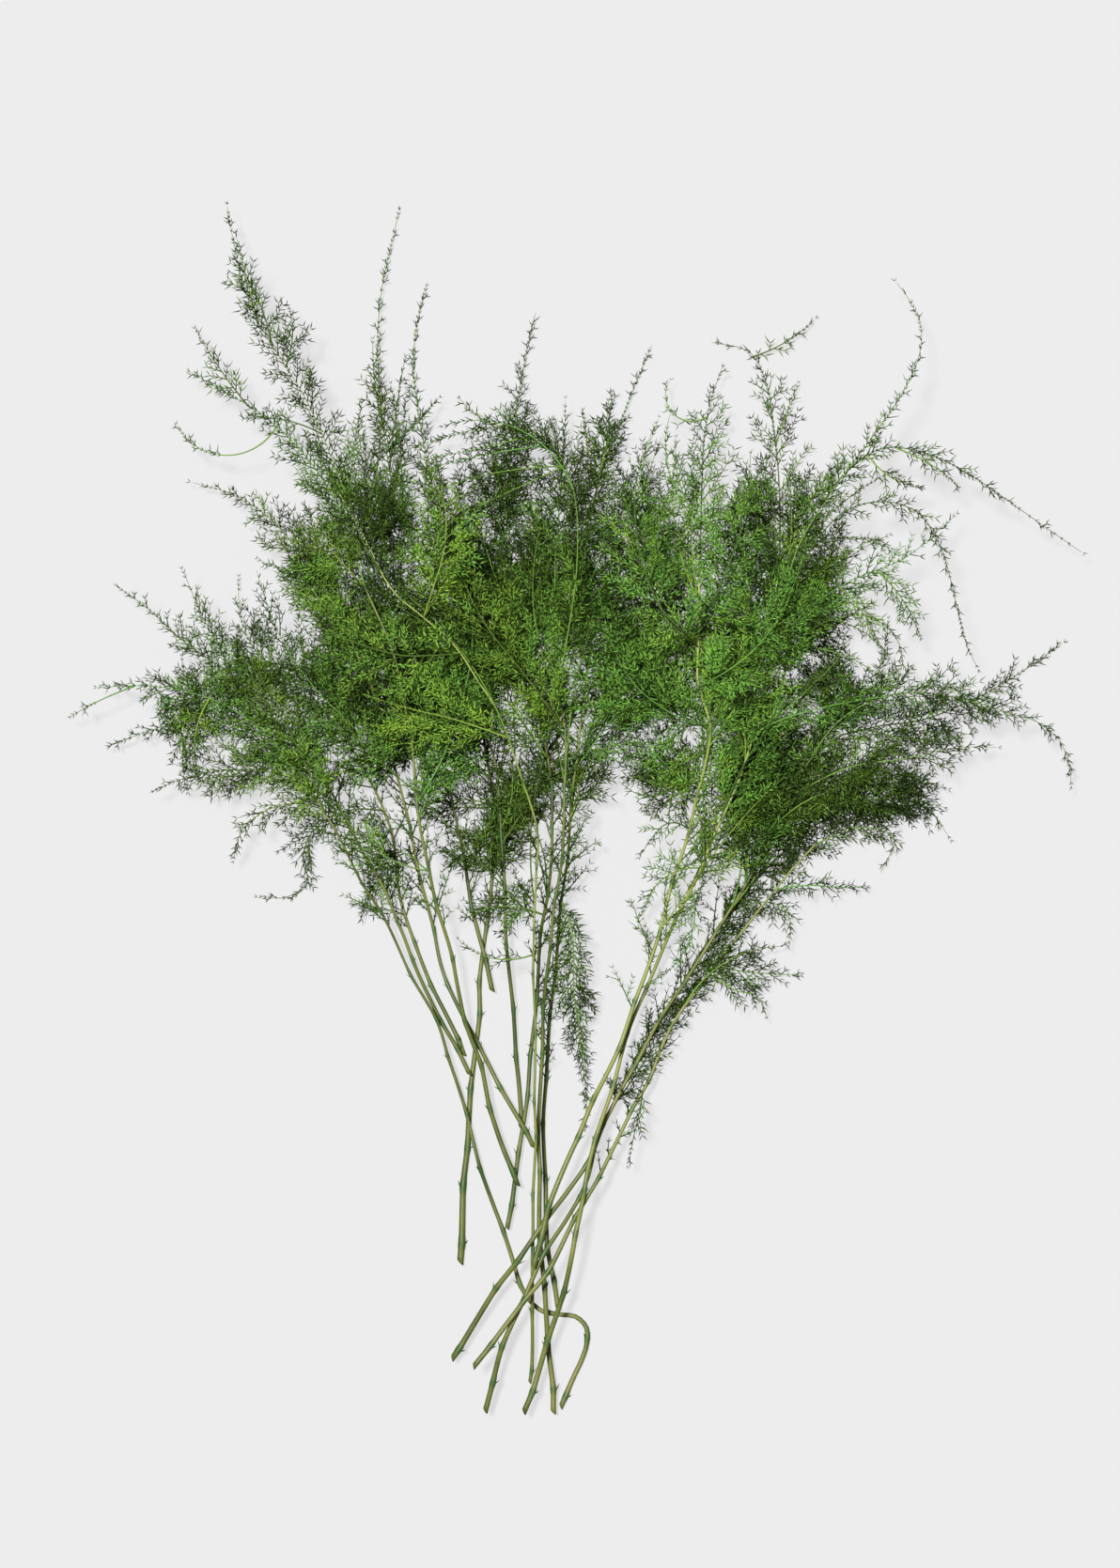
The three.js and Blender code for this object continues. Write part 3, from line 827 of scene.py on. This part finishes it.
def make_light():
    """A pale, even surround and one soft lamp from above, a little to the far left."""
    world = bpy.data.worlds.new("studio")
    world.use_nodes = True
    tree = world.node_tree
    background = tree.nodes["Background"]
    background.inputs["Color"].default_value = (1, 1, 1, 1)
    seen = tree.nodes.new("ShaderNodeLightPath").outputs["Is Camera Ray"]
    strength = math_node(tree, "MULTIPLY_ADD", seen, 0.6)
    strength.node.inputs[2].default_value = 0.16
    tree.links.new(strength, background.inputs["Strength"])
    bpy.context.scene.world = world
    sun = bpy.data.lights.new("softbox", "SUN")
    sun.angle = math.radians(9)
    sun.energy = 4.1
    lamp = bpy.data.objects.new("softbox", sun)
    bpy.context.scene.collection.objects.link(lamp)
    lamp.rotation_euler = Vector(SHINES_TOWARDS).to_track_quat("-Z", "Y").to_euler()


def make_camera():
    """Looks straight down, with the fern's tops at the far end."""
    low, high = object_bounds()
    centre = [(a + b) / 2 for a, b in zip(low, high)]
    camera = bpy.data.cameras.new("camera")
    camera.sensor_fit = "VERTICAL"
    camera.sensor_height = 36
    camera.lens = camera.sensor_height * CAMERA_HEIGHT / VIEW_HEIGHT
    camera.clip_end = 20
    made = bpy.data.objects.new("camera", camera)
    bpy.context.scene.collection.objects.link(made)
    made.location = (centre[0] + VIEW_CENTRE[0], centre[1] + VIEW_CENTRE[1], CAMERA_HEIGHT)
    bpy.context.scene.camera = made
    bpy.context.scene.view_settings.view_transform = "Standard"


# ---------------------------------------------------------------- the fern
# Canes feathered with short sprays from low down, by where that starts as a share of the
# fern's height, how long the sprays are and how far apart; the other canes are sparser.
FEATHERED = {
    "stem_13": (0.25, 14 * MM, 3.8 * MM),
    "stem_14": (0.20, 10 * MM, 5.0 * MM),
    "stem_15": (0.26, 13 * MM, 3.8 * MM),
    "stem_12": (0.36, 20 * MM, 16 * MM),
    "stem_10": (0.27, 12 * MM, 5.0 * MM),
    "stem_11": (0.28, 12 * MM, 5.0 * MM),
    "stem_07": (0.33, 14 * MM, 5.5 * MM),
    "stem_16": (0.36, 22 * MM, 11 * MM),
    "stem_17": (0.34, 24 * MM, 10 * MM),
}
OTHERS_FEATHERED = (0.40, 18 * MM, 6.5 * MM)
# Painted light: the canes that lie on top of the heap are painted paler towards their tops; the
# other canes are paler by a random amount.
TOP_LIT_CANES = {"stem_12": 1.0, "stem_17": 1.0, "stem_16": 0.7, "stem_14": 0.4}


def grow_feathers(growth, name, line, at, rng, tone, hue):
    """Short side sprigs that sit straight on a cane."""
    start, reach, spacing = FEATHERED.get(name, OTHERS_FEATHERED)
    low, high = cad_box[0][1], cad_box[1][1]
    first = at[int(np.argmax(line[:, 1] > low + start * (high - low)))]
    spots = np.arange(first, at[-1], spacing)
    spots = spots + rng.uniform(-0.5, 0.5, len(spots)) * spacing
    count = len(spots)
    forward = directions(line)
    places = np.stack([np.interp(spots, at, axis) for axis in line.T], 1)
    headings = unit(np.stack([np.interp(spots, at, axis) for axis in forward.T], 1))
    lengths = reach * rng.uniform(0.35, 1.5, count) * np.linspace(0.7, 1.5, count)
    tones = tone - 0.1 + rng.normal(0, 0.1, count)
    hues = hue + rng.normal(0, 0.1, count)
    number = rng.integers(0, 2, count)
    twigs = fork(places, headings, np.tile(UP, (count, 1)), number, lengths, tones, hues,
                 np.full(count, SPRIG_VIGOUR), rng, np.full(count, SPRIG_SPREAD), -0.05)
    grow_twigs(growth, twigs, TWIG_RADIUS * 1.2)
    needles_along(growth, twigs, rng, 0.15)
    grow_twiglets(growth, twigs, rng)


# Leafy tops and sprays that aren't as wide as their solids.
SLIM = {
    "stem_01": 0.45, "stem_04": 0.6, "stem_05": 0.6, "stem_06": 0.4, "stem_07": 0.65,
    "stem_08": 0.7, "stem_09": 0.55, "stem_10": 0.5, "stem_12": 0.55, "stem_13": 0.85,
    "stem_14": 0.85, "stem_15": 0.6, "stem_17": 0.85,
    "stem_01_spray_1": 0.85, "stem_03_spray_1": 0.6, "stem_03_spray_2": 0.8,
    "stem_04_spray_1": 0.6, "stem_06_spray_1": 0.7, "stem_10_spray_2": 1.1,
    "stem_16_spray_1": 0.45, "stem_16_spray_2": 0.5, "stem_16_spray_3": 0.7,
    "stem_16_spray_4": 0.45, "stem_16_spray_5": 0.6, "stem_16_spray_6": 0.5,
    "stem_17_spray_2": 0.7,
}
SLIM_CANES = {"stem_12": 0.62}

# How dark or light the foliage is painted by where it lies in the armful: painted light on the
# loose stems on top, painted shade on the low stems and the SHADED sprays.
SHADED = ("stem_12", "stem_11_spray_2", "stem_16_spray_4", "stem_16_spray_5", "stem_16_spray_6")
LOW_STEMS = ("stem_13", "stem_14", "stem_15")
LOOSE_STEMS = ("stem_12", "stem_16", "stem_17")  # the last to be laid, on top
SHADED_TONE = 0.18
LOOSE_TONE = 0.6
LOW_TONE = 0.33
USUAL_TONE = 0.44

# How many twigs a spray carries. Those in the thick of the armful carry more than the
# loose ones round it.
THICK = {
    "stem_01_spray_1", "stem_01_spray_2", "stem_02_spray_1", "stem_06_spray_1",
    "stem_07_spray_1", "stem_09_spray_1", "stem_10_spray_1", "stem_11_spray_1",
    "stem_12_spray_2", "stem_12_spray_3", "stem_12_spray_4", "stem_15_spray_1",
    "stem_15_spray_2", "stem_17_spray_2", "stem_17_spray_3", "stem_17_spray_4",
    "stem_17_spray_5",
}
THICK_CROWD = 1.6
USUAL_CROWD = 1.4
CROWD = {"stem_12": 1.9, "stem_10_spray_2": 2.1, "stem_11_spray_2": 1.9}
LOOSE_STEM_CROWD = 0.75
OTHER_STEM_CROWD = 1.2

# Branches too fine for a solid of their own, by the stem that they grow from: where along
# it, the compass headings at their two ends in degrees (0 is +X, 90 is +Y), their length
# and reach in mm and, where it is more than a tenth, the share that is bare.
BRANCHES = {
    "stem_01": [(0.46, 145, 225, 40, 14), (0.40, 60, 100, 45, 12)],
    "stem_02": [(0.92, 70, 90, 70, 8), (0.74, 110, 70, 90, 10), (0.50, 190, 225, 40, 12)],
    "stem_03": [(0.62, 85, 120, 65, 18), (0.78, 165, 225, 45, 12), (0.62, 180, 225, 45, 12)],
    "stem_04": [(0.80, 140, 95, 40, 12), (0.66, 200, 235, 45, 10)],
    "stem_05": [
        (0.96, 200, 210, 40, 1.5, 0.6), (0.94, -45, -90, 50, 10), (0.88, -125, -75, 45, 12),
        (0.86, 125, 75, 45, 6),
    ],
    "stem_06": [
        (0.60, 140, 90, 80, 20), (0.42, 125, 130, 75, 22), (0.26, 110, 195, 45, 16),
        (0.72, 85, 80, 60, 6), (0.66, 90, 100, 75, 8), (0.76, 105, 90, 50, 8),
        (0.74, 40, 50, 40, 2.5), (0.32, 60, 110, 45, 12),
    ],
    "stem_07": [
        (0.64, 120, 95, 100, 18), (0.74, 125, 50, 65, 18), (0.36, 95, 135, 90, 16, 0.5),
        (0.76, 100, 105, 60, 4), (0.34, 150, 210, 45, 12),
    ],
    "stem_08": [
        (0.70, 130, 125, 55, 20), (0.62, 100, 100, 75, 22), (0.54, 215, 180, 40, 10),
        (0.40, 200, 250, 45, 12),
    ],
    "stem_09": [
        (0.68, 140, 115, 55, 20), (0.36, 175, 115, 65, 14, 0.3), (0.92, 130, 120, 50, 8),
        (0.88, 245, 120, 65, 3, 0.5), (0.76, 75, 85, 65, 10), (0.50, 175, 240, 35, 12),
        (0.72, 225, 150, 55, 10), (0.42, 60, 120, 45, 12),
    ],
    "stem_10": [
        (0.62, 85, 60, 95, 22), (0.66, 115, 105, 95, 22), (0.50, 80, 55, 50, 16),
        (0.84, 80, 85, 50, 12), (0.50, 95, 35, 160, 14, 0.7), (0.82, 80, 75, 50, 8),
        (0.84, 105, 95, 45, 4), (0.58, 145, 70, 55, 14),
    ],
    "stem_11": [(0.70, 120, 75, 100, 22), (0.76, 50, 95, 100, 20), (0.62, 90, 65, 120, 12, 0.7)],
    "stem_11_spray_2": [
        (0.62, 185, 195, 65, 8), (0.66, 195, 190, 55, 8), (0.56, 180, 200, 75, 8),
        (0.50, 105, 195, 85, 8, 0.3), (0.56, 205, 205, 70, 8), (0.70, 180, 125, 40, 2.5, 0.3),
    ],
    "stem_12": [
        (0.68, 130, 90, 60, 20), (0.50, 105, 140, 105, 12, 0.7), (0.38, 100, 70, 95, 6, 0.3),
        (0.34, 205, 135, 45, 6), (0.72, 65, 100, 80, 8, 0.2), (0.90, 105, 105, 50, 10),
        (0.88, 100, 125, 50, 10), (0.86, 65, 110, 35, 10), (0.80, 150, 185, 45, 5),
    ],
    "stem_13": [(0.70, 55, 55, 90, 22), (0.72, 80, 115, 95, 24, 0.3), (0.60, 35, 95, 80, 10)],
    "stem_14": [(0.56, 65, 0, 65, 10)],
    "stem_15": [
        (0.58, 85, 55, 90, 24), (0.54, 70, 115, 95, 20, 0.4), (0.76, 115, 95, 55, 20),
        (0.66, 125, 105, 60, 24), (0.72, 80, 20, 55, 16), (0.78, -25, 20, 60, 10),
        (0.76, 55, 85, 65, 8), (0.68, 95, 165, 40, 14), (0.68, 50, 85, 50, 14),
    ],
    "stem_16": [
        (0.54, 75, 40, 100, 24), (0.48, 60, 40, 85, 22), (0.60, 95, 145, 85, 22),
        (0.56, 110, 205, 60, 18), (0.74, 125, 85, 75, 20), (0.78, 55, 60, 65, 18),
        (0.68, 50, 85, 75, 20), (0.64, 110, 110, 85, 24), (0.70, 100, 130, 75, 22),
        (0.60, 50, 100, 95, 12, 0.6), (0.96, 15, 45, 40, 5), (0.74, 70, 100, 75, 12),
        (0.78, 125, 60, 70, 12), (0.72, 60, 25, 75, 12), (0.70, 35, 30, 65, 12),
        (0.62, 40, 45, 65, 16), (0.50, 170, 265, 45, 10), (0.72, 35, 90, 85, 14),
        (0.78, 40, -30, 70, 7, 0.2), (0.72, 30, -60, 75, 7, 0.2), (0.70, 15, -50, 75, 7, 0.3),
        (0.76, 65, 25, 90, 5, 0.2), (0.88, 70, 70, 35, 4), (0.48, -70, -145, 55, 10),
        (0.60, 85, 120, 55, 14),
    ],
    "stem_16_spray_3": [(0.64, -40, -70, 45, 10), (0.50, -40, -70, 40, 10)],
    "stem_16_spray_5": [(0.56, -20, -40, 40, 8), (0.50, -60, 0, 35, 8)],
    "stem_17": [
        (0.52, 120, 150, 65, 20), (0.60, 110, 135, 80, 22), (0.58, 55, 65, 90, 22),
        (0.74, 135, 95, 75, 20), (0.82, 50, -10, 50, 16), (0.62, 65, 105, 75, 24),
        (0.60, 65, 85, 70, 12, 0.6), (0.70, 75, 85, 75, 12, 0.6), (0.94, -135, -300, 40, 4, 0.2),
        (0.74, 120, 80, 80, 10), (0.82, 130, 85, 50, 10), (0.58, 210, 270, 45, 10),
        (0.74, 105, 75, 70, 14), (0.82, 140, 75, 65, 4, 0.2), (0.38, 50, 60, 35, 10),
        (0.58, 90, 15, 40, 12), (0.52, -70, -110, 60, 8),
    ],
}
BARE_FOOT = 0.1
BUSHY_REACH = 11  # mm; a branch that reaches further has a layer of foliage painted dark as shade below it
FULL_REACH = 8
FULL_BRANCH_CROWD = 1.8
THIN_BRANCH_CROWD = 1.1
BRANCH_RISE = 5 * MM
BRANCH_STEPS = np.linspace(0, 1, 14)
BRANCH_SHAPE = np.interp(BRANCH_STEPS, [0, 0.2, 0.5, 1], [0.5, 1, 0.8, 0.15])


def branch_line(line, share, start, end, length):
    """An arc from a place on a line, rising a little and then settling."""
    at = np.append(0, np.cumsum(np.linalg.norm(np.diff(line, axis=0), axis=1)))
    foot = np.array([np.interp(share * at[-1], at, axis) for axis in line.T])
    heading = np.radians(start + (end - start) * BRANCH_STEPS[1:])
    step = length / (len(BRANCH_STEPS) - 1)
    arc = np.zeros((len(BRANCH_STEPS), 3))
    arc[1:, 0] = np.cumsum(np.cos(heading)) * step
    arc[1:, 1] = np.cumsum(np.sin(heading)) * step
    arc += foot
    arc[:, 2] *= 1 - 0.4 * BRANCH_STEPS**2
    arc[:, 2] += BRANCH_RISE * np.sin(BRANCH_STEPS * np.pi * 0.8)
    return arc


def grow_branches(growth, node, line, rng, tone):
    """The branches in the table above, on the stem or spray that carries them."""
    for share, start, end, length, reach, *bare_foot in BRANCHES.get(node, []):
        bare = bare_foot[0] if bare_foot else BARE_FOOT
        arc = branch_line(line, share, start, end, length * MM)
        if reach > BUSHY_REACH:
            grow_shade(growth, arc, BRANCH_SHAPE * reach * MM, rng, bare, 0.5, 1)
        crowd = stem_crowd(node, FULL_BRANCH_CROWD if reach > FULL_REACH else THIN_BRANCH_CROWD)
        grow_plume(growth, arc, BRANCH_SHAPE * reach * MM, rng, bare,
                   tone + rng.uniform(-0.1, 0.1), rng.uniform(*PLUME_HUES), crowd)


def stem_of(node):
    return node.split("_spray")[0]


def stem_tone(node):
    """How light a stem's foliage is painted: what lies on top is painted lighter, as lit, and
    what lies low or shaded darker, as painted shade.
    """
    if node in SHADED:
        return SHADED_TONE
    if stem_of(node) in LOOSE_STEMS:
        return LOOSE_TONE
    return LOW_TONE if stem_of(node) in LOW_STEMS else USUAL_TONE


def stem_crowd(node, crowd):
    """Stems at the bottom of the heap are leafier than those that lie loose on top."""
    return crowd * (LOOSE_STEM_CROWD if stem_of(node) in LOOSE_STEMS else OTHER_STEM_CROWD)


def foliage_crowd(node):
    return stem_crowd(node, THICK_CROWD if node in THICK else CROWD.get(node, USUAL_CROWD))


def place_piece(piece, node):
    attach(piece, "root")
    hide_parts(node)


def make_stem(node, materials, rng):
    """One stem: its cane, then its leafy top. Returns the cane's line for its sprays."""
    line, reach = solid_line(node)
    line, reach = turned(line, reach, line[0, 1] > line[-1, 1])
    joint = int(np.argmax(reach > STALK)) - 1
    cane_reach = np.minimum.accumulate(reach[: joint + 1]) * SLIM_CANES.get(node, 1)
    cane, cane_line, at = grow_cane(
        f"{node}_cane", line[: joint + 1], cane_reach, [materials["cane"], materials["cut"]],
        rng, TOP_LIT_CANES.get(node, rng.uniform(0, 0.35)))
    place_piece(cane, node)
    growth = Growth()
    tone, hue = stem_tone(node) + rng.uniform(-0.08, 0.08), rng.uniform(*PLUME_HUES)
    grow_plume(growth, line[joint:], reach[joint:] * SLIM.get(node, 1), rng, 0.02, tone, hue,
               foliage_crowd(node), cane_reach[-1] * CANE_SLIMNESS * (1 - CANE_TAPER))
    grow_feathers(growth, node, cane_line, at, rng, tone, hue)
    grow_branches(growth, node, line, rng, tone)
    top = growth.to_object(f"{node}_leafy_top", [materials["needle"], materials["twig"]])
    place_piece(top, node)
    return cane_line


def make_spray(node, cane_line, materials, rng):
    """One side spray, from the middle of its cane outwards."""
    line, reach = solid_line(node)
    gaps = [np.linalg.norm(cane_line - end, axis=1).min() for end in (line[0], line[-1])]
    line, reach = turned(line, reach, gaps[1] < gaps[0])
    nearest = cane_line[np.linalg.norm(cane_line - line[0], axis=1).argmin()]
    line = np.vstack([nearest, line[1:]])
    leafy = int(np.argmax(reach > STALK))
    bare = max(0.04, (leafy - 0.7) / (len(reach) - 1))
    growth = Growth()
    tone, hue = stem_tone(node) + rng.uniform(-0.12, 0.12), rng.uniform(*PLUME_HUES)
    grow_plume(growth, line, reach * SLIM.get(node, 1), rng, bare, tone, hue,
               foliage_crowd(node))
    # sprays in the thick of the armful also get two layers of foliage painted dark as shade
    # below them
    if node in THICK:
        grow_shade(growth, line, reach, rng, bare, hue, 2)
    grow_branches(growth, node, line, rng, tone)
    spray = growth.to_object(f"{node}_feathers", [materials["needle"], materials["twig"]])
    place_piece(spray, node)


def make_fern():
    materials = make_materials()
    nodes = sorted(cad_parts)
    for number, stem in enumerate(n for n in nodes if "spray" not in n):
        rng = np.random.default_rng([SEED, number])
        cane_line = make_stem(stem, materials, rng)
        for spray in (n for n in nodes if n.startswith(f"{stem}_spray")):
            make_spray(spray, cane_line, materials, rng)


make_camera()
make_fern()
make_floor()
make_light()
